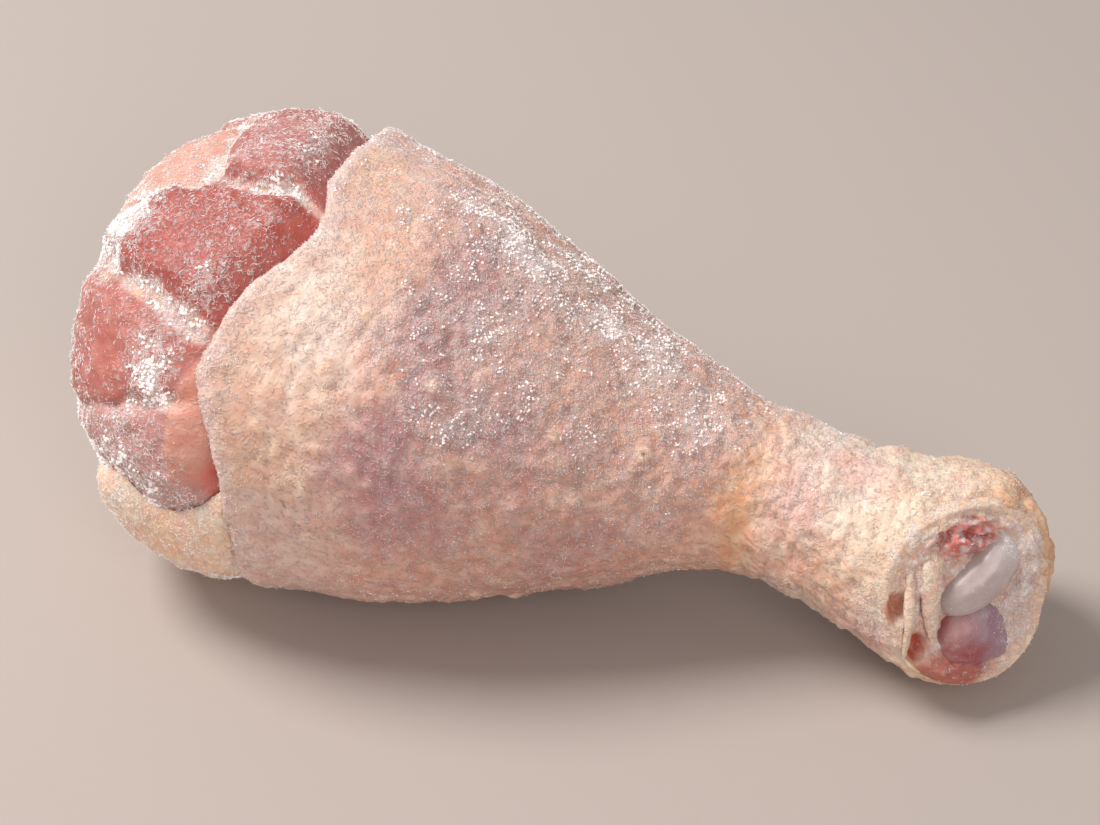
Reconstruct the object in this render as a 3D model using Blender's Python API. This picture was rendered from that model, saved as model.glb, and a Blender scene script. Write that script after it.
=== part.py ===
"""A raw chicken drumstick lying on its side, cut at the knee and at the hock.

It is built in layers, as the animal is. The shank bone runs from the knee to the hock, and
the muscle is bored for it. The skin is a sleeve round the muscle, with a loose flap of skin
under the knee end. At the hock the skin is cut open in a slanting mouth, where a joint
capsule with two tendons surrounds the bone's two condyles.

+X runs from the knee to the hock, -Y is the front, +Z is up, and the leg rests on z = 0.
Lengths are in millimetres and angles in degrees up to the point where a mesh is made.
"""

import math

import bmesh
import bpy
from mathutils import Matrix, Vector

MM = 0.001
MIDDLE = Vector((1.5, -2.05, 0.0))  # what the tables below place at x = 0, y = 0
SIDES = 40  # points round the leg
MEAT_SIDES = 48
BONE_SIDES = 20
GAP = 0.45  # clearance between two pieces that touch

# The flesh under the skin, from the knee to the hock:
# x, centre y, centre z, half width, half height
LEG = (
    (-61.3, 0.0, 28.0, 9.0, 9.0),
    (-60.0, 0.0, 28.0, 14.8, 14.2),
    (-55.0, -1.0, 27.8, 23.8, 21.8),
    (-45.0, -2.0, 27.2, 29.4, 26.6),
    (-32.0, -2.0, 27.2, 30.6, 27.2),
    (-17.0, -2.0, 26.0, 28.0, 25.3),
    (-3.0, -1.8, 23.6, 22.4, 20.6),
    (11.0, -1.0, 21.4, 15.8, 14.8),
    (23.0, -0.3, 20.5, 10.6, 10.0),
    (34.0, 0.0, 18.3, 9.0, 9.4),
    (45.0, 0.0, 15.2, 11.0, 11.2),
    (54.0, 0.0, 13.6, 13.2, 12.4),
    (60.0, -0.8, 13.8, 11.2, 10.6),
    (63.4, -2.8, 14.2, 6.3, 6.0),
    (64.2, -3.4, 14.4, 1.5, 1.5),
)

# The muscles at the knee end, each round the middle of its belly:
# x, angle from the top towards the front, how far it swells past the flesh line
MUSCLES = (
    (-36.5, 347.0, 3.4),
    (-50.0, 6.0, 0.2),
    (-39.0, 29.0, 2.0),
    (-49.0, 58.0, 1.4),
    (-43.0, 84.0, 1.0),
    (-46.0, 270.0, 1.8),
    (-43.0, 308.0, 2.4),
)
SEAM_WIDTH = 3.6
SEAM_DEPTH = 1.4
SWELL_FROM, SWELL_TO = 2.5, 9.0  # how far beyond the skin's rim the muscle swells

# The skin's rim at the knee end: angle from the top towards the front, x
KNEE_RIM = (
    (0.0, -28.5),
    (22.0, -28.5),
    (48.0, -34.5),
    (75.0, -32.0),
    (105.0, -30.5),
    (160.0, -33.0),
    (215.0, -38.0),
    (260.0, -41.0),
    (300.0, -35.0),
    (335.0, -29.5),
)
SKIN_THICK = 1.2
SOLE_THICK = 0.8  # where the leg's weight presses the skin flat
RIM_THICK = 2.2  # the skin rolls up along its knee rim
RIM_SHARE = 0.10  # the roll's share of the skin's length
SKIN_RINGS = 22

# The loose flap under the knee end, between two angles, from this x to the skin's rim
FLAP_FROM, FLAP_TO = 98.0, 242.0
FLAP_KNEE_X = -55.5
FLAP_THICK = 1.5
FLAP_ROWS, FLAP_COLUMNS = 16, 8

# The shank bone: x, centre y, centre z, half width, half height
BONE = (
    (-62.6, 0.0, 27.5, 6.5, 5.5),
    (-61.6, 0.0, 27.5, 8.4, 7.6),
    (-57.0, 0.0, 27.4, 8.6, 7.8),
    (-46.0, -0.6, 27.0, 5.2, 5.2),
    (-20.0, -1.4, 25.2, 3.8, 3.8),
    (14.0, -0.8, 20.4, 3.5, 3.5),
    (34.0, -0.4, 17.0, 3.5, 3.5),
    (46.0, -1.0, 14.8, 4.6, 4.6),
    (51.5, -2.0, 13.6, 5.6, 5.4),
    (55.0, -2.8, 13.4, 3.5, 3.5),
)
MEAT_END_X = 43.5

# The mouth is a slanting plane. Pieces in it are placed by how far they lie to its right,
# how far up it, and how far out of it.
MOUTH_CENTRE = Vector((56.0, -5.5, 17.0))
MOUTH_FACING = Vector((0.55, -0.74, 0.38)).normalized()
MOUTH_MIDDLE = (0.3, -2.2)
DISH_DEPTH = 1.8
DISH_RINGS = 5

# Condyle: right, up, out, turn, half length, half breadth, half depth
CONDYLES = (
    (1.2, 1.4, -3.6, 56.0, 6.6, 3.3, 4.9),
    (1.7, -6.6, -3.9, 30.0, 5.3, 4.5, 4.4),
)

# Tendon: its line as right, up and out, then half breadth and half thickness
TENDONS = (
    (((-5.6, 4.6, -1.6), (-5.8, 1.6, -1.0), (-5.6, -2.0, -0.9), (-5.0, -5.2, -1.7)), 1.3, 0.8),
    (((-8.0, 1.8, -1.5), (-8.1, -1.0, -0.8), (-7.7, -5.2, -0.8), (-6.3, -9.2, -1.8)), 0.75, 0.7),
)
TENDON_RINGS, TENDON_SIDES = 10, 8

# Pit in the capsule beside the tendons: right, up, half breadth, half height, depth
PITS = (
    (-8.5, -3.6, 0.75, 2.0, 2.4),
    (-4.6, -8.4, 0.9, 2.1, 2.6),
)


def through(points, t):
    """The smooth curve through a list of points, at t counted in points."""
    last = len(points) - 1
    i = min(int(max(t, 0.0)), last - 1)
    f = t - i
    around = (points[min(max(k, 0), last)] for k in (i - 1, i, i + 1, i + 2))
    return tuple(catmull_rom(*values, f) for values in zip(*around))


def catmull_rom(a, b, c, d, f):
    slope_b, slope_c = (c - a) / 2, (d - b) / 2
    return (
        b
        + slope_b * f
        + (3 * (c - b) - 2 * slope_b - slope_c) * f**2
        + (2 * (b - c) + slope_b + slope_c) * f**3
    )


def smooth(start, stop, value):
    """0 before start, 1 after stop, and an even slope between them."""
    share = min(max((value - start) / (stop - start), 0.0), 1.0)
    return share * share * (3 - 2 * share)


def closer_at_ends(share):
    """Spaces even shares more closely near 0 and near 1."""
    return 0.4 * share + 0.3 * (1 - math.cos(math.pi * share))


def crossing(low, high, before):
    """Where a test that is true at low turns false on the way to high."""
    for _ in range(30):
        middle = (low + high) / 2
        low, high = (middle, high) if before(middle) else (low, middle)
    return (low + high) / 2


def station_at(stations, x):
    """How far along a list of stations their curve reaches x."""
    return crossing(0.0, len(stations) - 1.0, lambda t: through(stations, t)[0] < x)


def round_the_leg(points, angle):
    """A value given at a few angles in degrees, read smoothly all the way round."""
    turn = math.degrees(angle) % 360
    unrolled = [(a + lap, value) for lap in (-360, 0, 360) for a, value in points]
    t = crossing(0.0, len(unrolled) - 1.0, lambda t: through(unrolled, t)[0] < turn)
    return through(unrolled, t)[1]


def angles(sides):
    return [2 * math.pi * k / sides for k in range(sides)]


def on_stations(stations, t, angle, out=0.0):
    """A point round the leg or the bone, moved out along the surface's own normal."""

    def at(t, angle):
        x, y, z, wide, high = through(stations, t)
        return Vector((x, y - wide * math.sin(angle), z + high * math.cos(angle)))

    step = 0.02
    along = at(min(t + step, len(stations) - 1.0), angle) - at(max(t - step, 0.0), angle)
    around = at(t, angle + step) - at(t, angle - step)
    return at(t, angle) + around.cross(along).normalized() * out


def above(lowest, point):
    """The underside lies flat where the leg rests."""
    return Vector((point.x, point.y, max(point.z, lowest)))


def knee_rim_x(angle):
    return round_the_leg(KNEE_RIM, angle)


def mouth_station(angle, out=0.0):
    """How far along the leg its surface meets the mouth's plane."""

    def behind(t):
        return (on_stations(LEG, t, angle, out) - MOUTH_CENTRE).dot(MOUTH_FACING) < 0

    return crossing(station_at(LEG, 38.0), len(LEG) - 1.0, behind)


def muscle_relief(point, angle):
    """How far the muscle swells where no skin covers it, with a seam between two bellies."""
    flap = smooth(FLAP_FROM - 16, FLAP_FROM - 4, math.degrees(angle))
    flap *= 1 - smooth(FLAP_TO + 4, FLAP_TO + 16, math.degrees(angle))
    bare = smooth(SWELL_FROM, SWELL_TO, knee_rim_x(angle) - point.x) * (1 - flap)
    if not bare:
        return 0.0
    reach = []
    for x, turn, swell in MUSCLES:
        middle = on_stations(LEG, station_at(LEG, x), math.radians(turn))
        apart = point - middle
        reach.append((Vector((apart.x * 0.75, apart.y, apart.z)).length, swell))
    (nearest, swell), (next_one, other), *_ = sorted(reach)
    between = math.exp(-(((next_one - nearest) / SEAM_WIDTH) ** 2))
    swell += (other - swell) * between / 2
    end = smooth(-61.4, -57.0, point.x)
    return bare * end * (swell - (swell + SEAM_DEPTH) * between)


def in_mouth(right, up, out):
    """A point placed in the mouth's plane."""
    e_right = (Vector((1, 0, 0)) - MOUTH_FACING * MOUTH_FACING.x).normalized()
    e_up = MOUTH_FACING.cross(e_right)
    return MOUTH_CENTRE + e_right * right + e_up * up + MOUTH_FACING * out


def mouth_matrix(right, up, out, turn, sizes):
    """Places a unit ball in the mouth, turned in its plane and stretched to its sizes."""
    origin = in_mouth(0, 0, 0)
    axes = [in_mouth(*step) - origin for step in ((1, 0, 0), (0, 1, 0), (0, 0, 1))]
    turned = Matrix(axes).transposed().to_4x4() @ Matrix.Rotation(math.radians(turn), 4, "Z")
    placed = Matrix.Translation(in_mouth(right, up, out) * MM)
    return placed @ turned @ Matrix.Diagonal((*(s * MM for s in sizes), 1))


def new_object(name, bm, finish):
    """Turns a mesh being built into a named object with one material, centred on the frame."""
    bmesh.ops.translate(bm, verts=bm.verts, vec=-MIDDLE * MM)
    bmesh.ops.recalc_face_normals(bm, faces=bm.faces)
    mesh = bpy.data.meshes.new(name)
    bm.to_mesh(mesh)
    bm.free()
    mesh.shade_smooth()
    colour, roughness = finish
    material = bpy.data.materials.new(name)
    material.use_nodes = True
    shader = material.node_tree.nodes["Principled BSDF"]
    shader.inputs["Base Color"].default_value = (*colour, 1.0)
    shader.inputs["Roughness"].default_value = roughness
    mesh.materials.append(material)
    obj = bpy.data.objects.new(name, mesh)
    bpy.context.scene.collection.objects.link(obj)
    return obj


def extruded_rings(rings):
    """Extrudes a loop of edges from one list of points to the next. Returns the mesh and the
    edges of its first and last loop."""
    bm = bmesh.new()
    ring = bmesh.ops.create_circle(bm, segments=len(rings[0]), radius=1.0)["verts"]
    for vert, place in zip(ring, rings[0]):
        vert.co = place * MM
    first = last = list(bm.edges)
    for places in rings[1:]:
        made = bmesh.ops.extrude_edge_only(bm, edges=last)["geom"]
        new = {v for v in made if isinstance(v, bmesh.types.BMVert)}
        last = [e for e in made if isinstance(e, bmesh.types.BMEdge) and set(e.verts) <= new]
        ring = [next(e.other_vert(v) for e in v.link_edges if e.other_vert(v) in new) for v in ring]
        for vert, place in zip(ring, places):
            vert.co = place * MM
    return bm, first, last


def tube(name, rings, finish):
    """A sleeve: the last loop is bridged back to the first."""
    bm, first, last = extruded_rings(rings)
    bmesh.ops.bridge_loops(bm, edges=first + last)
    return new_object(name, bm, finish)


def capped(name, rings, finish):
    """A closed loft: both ends are filled."""
    bm, first, last = extruded_rings(rings)
    bmesh.ops.contextual_create(bm, geom=first)
    bmesh.ops.contextual_create(bm, geom=last)
    return new_object(name, bm, finish)


def slab(name, sections, finish):
    """A bent slab: each section is one row out and the same row back, and each end is closed
    by bridging its two rows."""
    bm, first, last = extruded_rings(sections)
    half = len(sections[0]) // 2
    for end, places in ((first, sections[0]), (last, sections[-1])):
        sides = {tuple(places[k] * MM) for k in (half - 1, half)}, {tuple(places[k] * MM) for k in (0, -1)}
        chains = [e for e in end if not any(is_between(e, side) for side in sides)]
        bmesh.ops.bridge_loops(bm, edges=chains)
    return new_object(name, bm, finish)


def is_between(edge, places):
    """Whether an edge joins these two places."""
    return all(min((v.co - Vector(p)).length for v in edge.verts) < 1e-7 for p in places)


def join_by(obj, other, operation):
    """Adds a Boolean to obj, and hides the piece that it works with."""
    modifier = obj.modifiers.new(operation.lower(), "BOOLEAN")
    modifier.operation = operation
    modifier.object = other
    other.hide_render = True
    other.display_type = "WIRE"


SKIN_FINISH = ((0.87, 0.69, 0.56), 0.55)
MEAT_FINISH = ((0.66, 0.27, 0.22), 0.45)
BONE_FINISH = ((0.78, 0.74, 0.74), 0.30)
GRISTLE_FINISH = ((0.84, 0.62, 0.55), 0.45)
TENDON_FINISH = ((0.88, 0.82, 0.72), 0.35)


def make_skin():
    """The sleeve, from its knee rim to the mouth and back along its inside."""
    lines = []
    for angle in angles(SIDES):
        start = station_at(LEG, knee_rim_x(angle))
        lines.append((angle, start, mouth_station(angle, GAP) - start))

    def ring(share, thick, lowest):
        places = [(start + share * run, angle) for angle, start, run in lines]
        return [above(lowest, on_stations(LEG, t, angle, GAP + thick)) for t, angle in places]

    def thick(share):
        roll = smooth(RIM_SHARE, 0.0, share) * (RIM_THICK - SKIN_THICK)
        return SKIN_THICK + roll - 0.5 * smooth(0.97, 1.0, share)

    shares = [closer_at_ends(k / SKIN_RINGS) for k in range(SKIN_RINGS + 1)]
    outside = [ring(share, thick(share), 0.0) for share in shares]
    bends = [share for k, share in enumerate(shares) if k % 2 == 0 or share > 0.7]
    inside = [ring(share, 0.0, SOLE_THICK) for share in reversed(bends)]
    return tube("skin", outside + inside, SKIN_FINISH)


def make_skin_flap():
    """The loose flap, each section running from the knee to the skin's rim and back."""
    sections = []
    for row in range(FLAP_ROWS + 1):
        share = row / FLAP_ROWS
        angle = math.radians(FLAP_FROM + share * (FLAP_TO - FLAP_FROM))
        side = smooth(0.0, 0.12, share) * smooth(1.0, 0.88, share)
        knee_x = FLAP_KNEE_X + 5.0 * (1 - side)
        start = station_at(LEG, knee_x)
        run = station_at(LEG, knee_rim_x(angle) - GAP) - start
        columns = [k / FLAP_COLUMNS for k in range(FLAP_COLUMNS + 1)]
        outside, inside = [], []
        for along in columns:
            thick = FLAP_THICK * (0.45 + 0.55 * side * smooth(0.0, 0.15, along))
            here = start + along * run
            outside.append(above(0.0, on_stations(LEG, here, angle, GAP + thick)))
            inside.append(above(SOLE_THICK, on_stations(LEG, here, angle, GAP)))
        sections.append(outside + inside[::-1])
    return slab("skin_flap", sections, SKIN_FINISH)


def make_meat():
    """The muscle, from the knee to above the hock and back along the bone's bore."""
    ends = station_at(LEG, -28.0), station_at(LEG, MEAT_END_X)
    stops = [ends[0] * k / 17 for k in range(18)]
    stops += [ends[0] + (ends[1] - ends[0]) * k / 9 for k in range(1, 10)]
    outside = []
    for stop in stops:
        ring = []
        for angle in angles(MEAT_SIDES):
            relief = muscle_relief(on_stations(LEG, stop, angle), angle)
            ring.append(above(SOLE_THICK + GAP, on_stations(LEG, stop, angle, relief)))
        outside.append(ring)
    bore_ends = station_at(BONE, MEAT_END_X), station_at(BONE, -61.6)
    bore = []
    for k in range(8):
        stop = bore_ends[0] + (bore_ends[1] - bore_ends[0]) * k / 7
        bore.append([on_stations(BONE, stop, angle, GAP) for angle in angles(MEAT_SIDES)])
    for place in bore[0]:
        place.x = outside[-1][0].x
    return tube("meat", outside + bore, MEAT_FINISH)


def make_bone(name, grown):
    """The shank: a shaft joined to the two condyles of the hock, grown where it is a cutter."""
    last = len(BONE) - 1
    rings = []
    for k in range(2 * last + 1):
        rings.append([on_stations(BONE, k / 2, angle, grown) for angle in angles(BONE_SIDES)])
    shaft = capped(name, rings, BONE_FINISH)
    for number, (right, up, out, turn, *sizes) in enumerate(CONDYLES, 1):
        bm = bmesh.new()
        bmesh.ops.create_uvsphere(bm, u_segments=16, v_segments=10, radius=1.0)
        bm.transform(mouth_matrix(right, up, out, turn, [size + grown for size in sizes]))
        join_by(shaft, new_object(f"{name}_condyle_{number}", bm, BONE_FINISH), "UNION")
    return shaft


def make_capsule():
    """The joint capsule: it fills the skin's mouth and ends in a shallow dish."""
    start = station_at(LEG, MEAT_END_X + GAP)
    lines = [(angle, mouth_station(angle) - 0.02) for angle in angles(SIDES)]
    rings = []
    for k in range(10):
        ring = [on_stations(LEG, start + (stop - start) * k / 9, angle) for angle, stop in lines]
        rings.append([above(SOLE_THICK + GAP, place) for place in ring])
    rim = rings[-1]
    for k in range(1, DISH_RINGS + 1):
        inward = 0.92 * k / DISH_RINGS
        middle = in_mouth(*MOUTH_MIDDLE, -DISH_DEPTH * smooth(0.0, 0.5, inward))
        deep = MOUTH_FACING * (DISH_DEPTH * smooth(0.0, 0.5, inward) * (1 - inward))
        rings.append([place.lerp(middle, inward) - deep for place in rim])
    return capped("joint_capsule", rings, GRISTLE_FINISH)


def make_tendon(name, line, broad, thick, grown):
    """A flat band along its line, round at both ends."""
    rings = []
    for k in range(TENDON_RINGS + 1):
        share = k / TENDON_RINGS
        centre = in_mouth(*through(line, share * (len(line) - 1)))
        ahead = in_mouth(*through(line, min(share + 0.05, 1.0) * (len(line) - 1)))
        behind = in_mouth(*through(line, max(share - 0.05, 0.0) * (len(line) - 1)))
        across = (ahead - behind).cross(MOUTH_FACING).normalized()
        taper = 0.35 + 0.65 * math.sqrt(math.sin(math.pi * (0.06 + 0.88 * share)))
        ring = []
        for angle in angles(TENDON_SIDES):
            sideways = across * math.cos(angle) * (broad * taper + grown)
            ring.append(centre + sideways + MOUTH_FACING * math.sin(angle) * (thick * taper + grown))
        rings.append(ring)
    for end, inner in ((0, 1), (-1, -2)):
        lengthways = (rings[end][0] - rings[inner][0]).normalized() * grown
        rings[end] = [place + lengthways for place in rings[end]]
    return capped(name, rings, TENDON_FINISH)


def make_pit(number, right, up, breadth, height, depth):
    bm = bmesh.new()
    bmesh.ops.create_uvsphere(bm, u_segments=12, v_segments=8, radius=1.0)
    bm.transform(mouth_matrix(right, up, -0.6, -14.0, (breadth, height, depth)))
    return new_object(f"pit_{number}", bm, GRISTLE_FINISH)


def make_hock():
    """The bone, the capsule round it and the tendons, each cut clear of the ones inside it."""
    make_bone("shank_bone", 0.0)
    capsule = make_capsule()
    join_by(capsule, make_bone("bone_space", GAP), "DIFFERENCE")
    for number, (line, broad, thick) in enumerate(TENDONS, 1):
        tendon = make_tendon(f"tendon_{number}", line, broad, thick, 0.0)
        join_by(tendon, bpy.data.objects["bone_space"], "DIFFERENCE")
        space = make_tendon(f"tendon_space_{number}", line, broad, thick, GAP)
        join_by(capsule, space, "DIFFERENCE")
    for number, pit in enumerate(PITS, 1):
        join_by(capsule, make_pit(number, *pit), "DIFFERENCE")


def main():
    for old in list(bpy.data.objects):
        bpy.data.objects.remove(old)
    make_skin()
    make_skin_flap()
    make_meat()
    make_hock()


main()
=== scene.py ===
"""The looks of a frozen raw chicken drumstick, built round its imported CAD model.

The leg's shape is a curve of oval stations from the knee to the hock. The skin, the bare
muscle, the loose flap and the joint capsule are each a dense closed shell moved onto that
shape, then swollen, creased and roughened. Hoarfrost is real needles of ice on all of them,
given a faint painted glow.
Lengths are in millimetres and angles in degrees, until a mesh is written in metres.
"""

import math

import bmesh
import bpy
import numpy as np
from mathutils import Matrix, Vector, noise


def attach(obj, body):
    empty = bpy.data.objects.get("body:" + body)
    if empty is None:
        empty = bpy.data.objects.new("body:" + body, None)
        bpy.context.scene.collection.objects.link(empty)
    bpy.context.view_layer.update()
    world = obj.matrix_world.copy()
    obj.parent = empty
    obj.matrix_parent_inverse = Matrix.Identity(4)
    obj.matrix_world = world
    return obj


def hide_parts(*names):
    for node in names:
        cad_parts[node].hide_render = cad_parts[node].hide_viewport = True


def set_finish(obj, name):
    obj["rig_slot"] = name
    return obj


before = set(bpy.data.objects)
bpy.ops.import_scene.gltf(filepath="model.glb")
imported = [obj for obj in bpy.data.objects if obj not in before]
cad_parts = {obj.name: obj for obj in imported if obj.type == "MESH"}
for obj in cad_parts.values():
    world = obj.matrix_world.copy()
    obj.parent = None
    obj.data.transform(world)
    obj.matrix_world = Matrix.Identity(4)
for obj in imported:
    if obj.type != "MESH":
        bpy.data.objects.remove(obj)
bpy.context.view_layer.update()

MM = 0.001
MERGE_WITHIN = 1e-7  # metres between two vertices that are one
MIDDLE = np.array((1.5, -2.05, 0.0))  # the place in the tables below that lies at x = 0, y = 0

# ---------------------------------------------------------------- the leg's shape

# The flesh under the skin: x, centre y, centre z, half width, half height
LEG = np.array(
    (
        (-61.3, 0.0, 28.0, 9.0, 9.0),
        (-60.0, 0.0, 28.0, 14.8, 14.2),
        (-55.0, -1.0, 27.8, 23.8, 21.8),
        (-45.0, -2.0, 27.2, 29.4, 26.6),
        (-32.0, -2.0, 27.2, 30.6, 27.2),
        (-17.0, -2.0, 26.0, 28.0, 25.3),
        (-3.0, -1.8, 23.6, 22.4, 20.6),
        (11.0, -1.0, 21.4, 15.8, 14.8),
        (23.0, -0.3, 20.5, 10.6, 10.0),
        (34.0, 0.0, 18.3, 9.0, 9.4),
        (45.0, 0.0, 15.2, 11.0, 11.2),
        (54.0, 0.0, 13.6, 13.2, 12.4),
        (60.0, -0.8, 13.8, 11.2, 10.6),
        (63.4, -2.8, 14.2, 6.3, 6.0),
        (64.2, -3.4, 14.4, 1.5, 1.5),
    )
)
LAST = len(LEG) - 1.0
SKIN_GAP = 0.45
KNEE_POLE = (-61.6, 0.0, 28.0)
MEAT_END = 43.5

# The skin's rim at the knee end: angle from the top towards the front, x
KNEE_RIM = (
    (0.0, -28.6),
    (11.0, -27.4),
    (21.0, -27.8),
    (35.0, -32.2),
    (54.0, -35.0),
    (72.0, -32.6),
    (92.0, -30.7),
    (120.0, -31.0),
    (160.0, -33.0),
    (215.0, -38.0),
    (260.0, -41.0),
    (300.0, -35.0),
    (324.0, -30.0),
    (340.0, -28.8),
)

MOUTH_CENTRE = np.array((56.0, -5.5, 17.0))
MOUTH_FACING = np.array((0.55, -0.74, 0.38)) / math.hypot(0.55, 0.74, 0.38)
MOUTH_RIGHT = np.array((1.0, 0.0, 0.0)) - MOUTH_FACING * MOUTH_FACING[0]
MOUTH_RIGHT /= np.linalg.norm(MOUTH_RIGHT)
MOUTH_UP = np.cross(MOUTH_FACING, MOUTH_RIGHT)
MOUTH_AFTER = 38.0  # the mouth cuts the leg past this x
MOUTH_HALVINGS = 22


def smooth(start, stop, value):
    """0 before start, 1 after stop, and an even slope between them."""
    share = np.clip((value - start) / (stop - start), 0.0, 1.0)
    return share * share * (3 - 2 * share)


def blend(first, second, share):
    """Mixes two colours or positions by a share given for each point."""
    return first + (np.asarray(second) - first) * np.asarray(share)[..., None]


def through(points, t):
    """The smooth curve through a list of points, at each t counted in points."""
    points = np.asarray(points, float)
    last = len(points) - 1
    start = np.clip(np.floor(t).astype(int), 0, last - 1)
    f = (t - start)[..., None]
    a, b, c, d = (points[np.clip(start + k, 0, last)] for k in (-1, 0, 1, 2))
    bend = 2 * b + (c - a) * f + (2 * a - 5 * b + 4 * c - d) * f**2
    return 0.5 * (bend + (3 * b - a - 3 * c + d) * f**3)


FINE_T = np.linspace(0.0, LAST, 4000)
FINE_LEG = through(LEG, FINE_T)


def station_at(x):
    """Where x lies along the leg, counted in the table's stations."""
    return np.interp(x, FINE_LEG[:, 0], FINE_T)


def girth_at(x):
    """The leg's mean radius at x."""
    return np.interp(x, FINE_LEG[:, 0], FINE_LEG[:, 3:].mean(axis=1))


def knee_rim_x(turn):
    """The rim's x at each angle in degrees, read smoothly all the way round."""
    unrolled = np.array([(a + lap, x) for lap in (-360, 0, 360) for a, x in KNEE_RIM])
    t = np.interp(turn % 360, unrolled[:, 0], np.arange(len(unrolled)))
    return through(unrolled, t)[..., 1]


def bare_leg(t, turn):
    """The flesh's surface at a station and an angle round it."""
    x, y, z, wide, high = np.moveaxis(through(LEG, t), -1, 0)
    angle = np.radians(turn)
    return np.stack((x, y - wide * np.sin(angle), z + high * np.cos(angle)), axis=-1)


def unit(vectors):
    """The same directions, one long."""
    return vectors / np.maximum(np.linalg.norm(vectors, axis=-1, keepdims=True), 1e-12)


def leg_frame(t, turn):
    """Each point of the flesh, the way along the leg there, and the way out of it."""
    t_step, turn_step = 0.02, 1.0
    ahead, behind = np.minimum(t + t_step, LAST), np.maximum(t - t_step, 0.0)
    along = bare_leg(ahead, turn) - bare_leg(behind, turn)
    around = bare_leg(t, turn + turn_step) - bare_leg(t, turn - turn_step)
    return bare_leg(t, turn), unit(along), unit(np.cross(around, along))


def mouth_station(turn, out):
    """How far along the leg its surface meets the mouth's plane."""
    low = np.full_like(turn, station_at(MOUTH_AFTER))
    high = np.full_like(turn, LAST)
    for _ in range(MOUTH_HALVINGS):
        t = (low + high) / 2
        point, _, outward = leg_frame(t, turn)
        behind = (point + outward * out - MOUTH_CENTRE) @ MOUTH_FACING < 0
        low, high = np.where(behind, t, low), np.where(behind, high, t)
    return low


def uneven_ring(turn, radius, size, seed):
    """Unevenness round an edge, which closes on itself."""
    angle = np.radians(turn)
    ring = np.stack((np.cos(angle) * radius, np.sin(angle) * radius, turn * 0), axis=1)
    return rough(ring, size, 3, seed)


def in_mouth(right, up, out):
    """A point placed by how far it lies to the mouth's right, up it and out of it."""
    place = np.multiply.outer(right, MOUTH_RIGHT) + np.multiply.outer(up, MOUTH_UP)
    return MOUTH_CENTRE + place + np.multiply.outer(out, MOUTH_FACING)


def apart(turn, other):
    """The signed difference of two angles in degrees."""
    return (turn - other + 180.0) % 360.0 - 180.0


def spot(x, turn, at, size, tilt=0.0):
    """A soft oval on the leg: 1 at its place (x, angle), fading over its size in mm along
    and round the leg. Tilt turns it towards the front."""
    along = x - at[0]
    round_it = np.radians(apart(turn, at[1])) * girth_at(x)
    c, s = math.cos(math.radians(tilt)), math.sin(math.radians(tilt))
    first, second = (along * c + round_it * s) / size[0], (round_it * c - along * s) / size[1]
    return np.exp(-(first**2) - second**2)


# ---------------------------------------------------------------- rough surfaces


def rough(points, size, octaves, seed):
    """Soft random relief, from about -1 to 1, with lumps of this size."""
    places = (points / np.asarray(size) + 17.3 * seed).tolist()
    return np.array([noise.fractal(place, 1.0, 2.0, octaves) for place in places])


def cells(points, size, seed):
    """How far each point is from the nearest of some scattered spots, in spacings, and a
    random number from 0 to 1 for that spot."""
    near, chance = [], []
    for place in (points / size + 11.9 * seed).tolist():
        distances, spots = noise.voronoi(place)
        near.append(distances[0])
        chance.append(noise.cell(spots[0] * 7.7))
    return np.array(near), np.array(chance)


# ---------------------------------------------------------------- making pieces


def read_values(rows, key, width=1, kind=np.float32):
    """One value, or a few side by side, of every vertex, face or corner of a mesh."""
    values = np.empty(len(rows) * width, kind)
    rows.foreach_get(key, values)
    return values.reshape(-1, width).squeeze()


def piece(name, bm, place, material, slot, node=None):
    """Makes a mesh being built into one of the object's pieces. Place gives the new position
    of each vertex, and what is painted on it, from where the vertex was."""
    mesh = bpy.data.meshes.new(name)
    bm.to_mesh(mesh)
    bm.free()
    points, paints = place(read_values(mesh.vertices, "co", 3).astype(float))
    points = (points - MIDDLE) * MM
    points[:, 2] = np.maximum(points[:, 2], 0.0)
    mesh.vertices.foreach_set("co", points.astype(np.float32).ravel())
    for key, values in paints.items():
        if values.ndim == 1:
            layer = mesh.attributes.new(key, "FLOAT", "POINT")
            layer.data.foreach_set("value", values.astype(np.float32))
        else:
            colour = np.concatenate((np.clip(values, 0, 1), np.ones((len(values), 1))), axis=1)
            layer = mesh.attributes.new(key, "FLOAT_COLOR", "POINT")
            layer.data.foreach_set("color", colour.astype(np.float32).ravel())
    closed = bmesh.new()
    closed.from_mesh(mesh)
    bmesh.ops.remove_doubles(closed, verts=closed.verts, dist=MERGE_WITHIN)
    bmesh.ops.recalc_face_normals(closed, faces=closed.faces)
    closed.to_mesh(mesh)
    closed.free()
    mesh.shade_smooth()
    mesh.materials.append(material)
    obj = bpy.data.objects.new(name, mesh)
    bpy.context.scene.collection.objects.link(obj)
    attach(obj, "root")
    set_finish(obj, slot)
    if node:
        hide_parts(node)
    return obj


def sheet_of(across, down):
    """A flat grid from 0 to 1 each way, to be rolled into a tube or a slab."""
    bm = bmesh.new()
    bmesh.ops.create_grid(bm, x_segments=across, y_segments=down, size=0.5)
    bmesh.ops.translate(bm, verts=bm.verts, vec=(0.5, 0.5, 0.0))
    return bm


def ball_of(around, down):
    """A ball from pole to pole, to be drawn out over a shape."""
    bm = bmesh.new()
    bmesh.ops.create_uvsphere(bm, u_segments=around, v_segments=down, radius=1.0)
    return bm


def packed(bm):
    """The same mesh with its vertices in unbroken order, so that copies follow one another."""
    mesh = bpy.data.meshes.new("packed")
    bm.to_mesh(mesh)
    bm.free()
    bm = bmesh.new()
    bm.from_mesh(mesh)
    bpy.data.meshes.remove(mesh)
    return bm


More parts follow.
